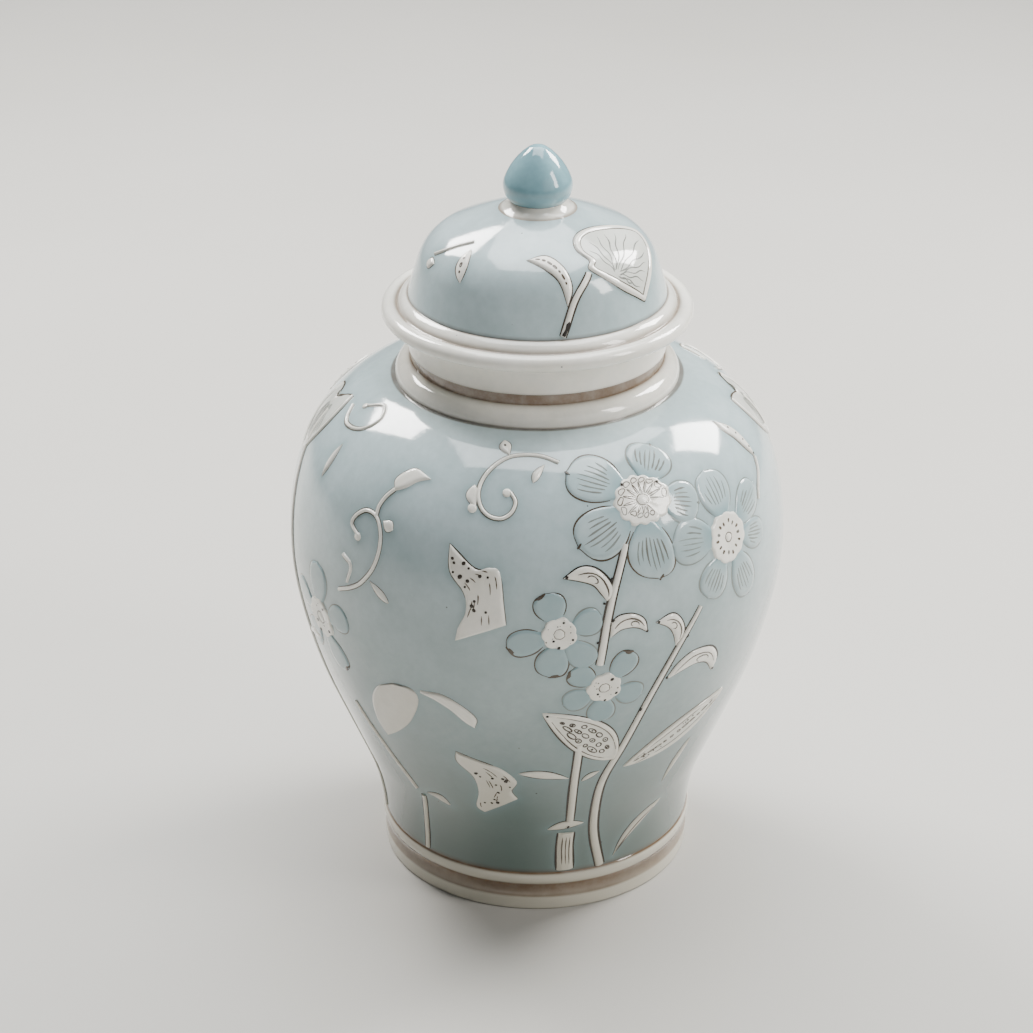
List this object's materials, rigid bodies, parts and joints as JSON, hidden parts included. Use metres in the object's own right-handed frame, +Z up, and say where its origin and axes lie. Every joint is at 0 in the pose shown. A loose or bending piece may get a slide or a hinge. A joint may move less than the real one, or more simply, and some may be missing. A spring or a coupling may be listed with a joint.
{
  "type": "lidded ginger jar",
  "caption": "Baluster jar in glazed porcelain with a collar neck, a loose domed lid with rolled flange and bud finial, and low relief flower sprays.",
  "frame": {"origin": "centre of the standing face, on the jar's axis", "axes": "+Z up along the jar's axis; the main flower spray faces -Y, a little towards +X"},
  "size_m": [0.1989, 0.2006, 0.305],
  "materials": {
    "blue_glaze": "gloss",
    "cream_glaze": "gloss",
    "teal_glaze": "gloss",
    "bare_porcelain": "matt"
  },
  "bodies": {
    "jar": {"broad_leaf_back": "cream_glaze", "broad_leaf_front": "cream_glaze", "bud_flower_disc_back": "cream_glaze", "bud_flower_disc_front": "cream_glaze", "bud_flower_petals_back": "teal_glaze", "bud_flower_petals_front": "teal_glaze", "crescent_leaves_back": "cream_glaze", "crescent_leaves_front": "cream_glaze", "edge_scroll_back": "cream_glaze", "edge_scroll_front": "cream_glaze", "foot_ring": "cream_glaze", "hanging_scroll_back": "cream_glaze", "hanging_scroll_front": "cream_glaze", "heart_leaf_back": "cream_glaze", "heart_leaf_front": "cream_glaze", "large_flower_disc_back": "cream_glaze", "large_flower_disc_front": "cream_glaze", "large_flower_petals_back": "teal_glaze", "large_flower_petals_front": "teal_glaze", "long_leaf_back": "cream_glaze", "long_leaf_front": "cream_glaze", "low_stem_back": "cream_glaze", "low_stem_front": "cream_glaze", "lower_body": "blue_glaze", "lower_butterfly_back": "cream_glaze", "lower_butterfly_front": "cream_glaze", "lower_small_flower_disc_back": "cream_glaze", "lower_small_flower_disc_front": "cream_glaze", "lower_small_flower_petals_back": "teal_glaze", "lower_small_flower_petals_front": "teal_glaze", "neck_collar": "cream_glaze", "round_leaf_spray_back": "cream_glaze", "round_leaf_spray_front": "cream_glaze", "short_stem_back": "cream_glaze", "short_stem_front": "cream_glaze", "shoulder_scroll_back": "cream_glaze", "shoulder_scroll_front": "cream_glaze", "side_flower_disc_back": "cream_glaze", "side_flower_disc_front": "cream_glaze", "side_flower_petals_back": "teal_glaze", "side_flower_petals_front": "teal_glaze", "tall_stem_back": "cream_glaze", "tall_stem_front": "cream_glaze", "upper_body": "blue_glaze", "upper_butterfly_back": "cream_glaze", "upper_butterfly_front": "cream_glaze", "upper_small_flower_disc_back": "cream_glaze", "upper_small_flower_disc_front": "cream_glaze", "upper_small_flower_petals_back": "teal_glaze", "upper_small_flower_petals_front": "teal_glaze"},
    "lid": {"finial_bud": "teal_glaze", "finial_collar": "cream_glaze", "lid_crescent_leaf": "cream_glaze", "lid_dome": "blue_glaze", "lid_flange": "cream_glaze", "lid_heart_leaf": "cream_glaze", "lid_scroll": "cream_glaze", "lid_stem": "cream_glaze", "locating_ring": "bare_porcelain"}
  },
  "joints": [
    {"name": "lid_lift", "type": "slide", "parent": "jar", "child": "lid", "axis": [0, 0, 1], "range_m": [0, 0.1]}
  ]
}
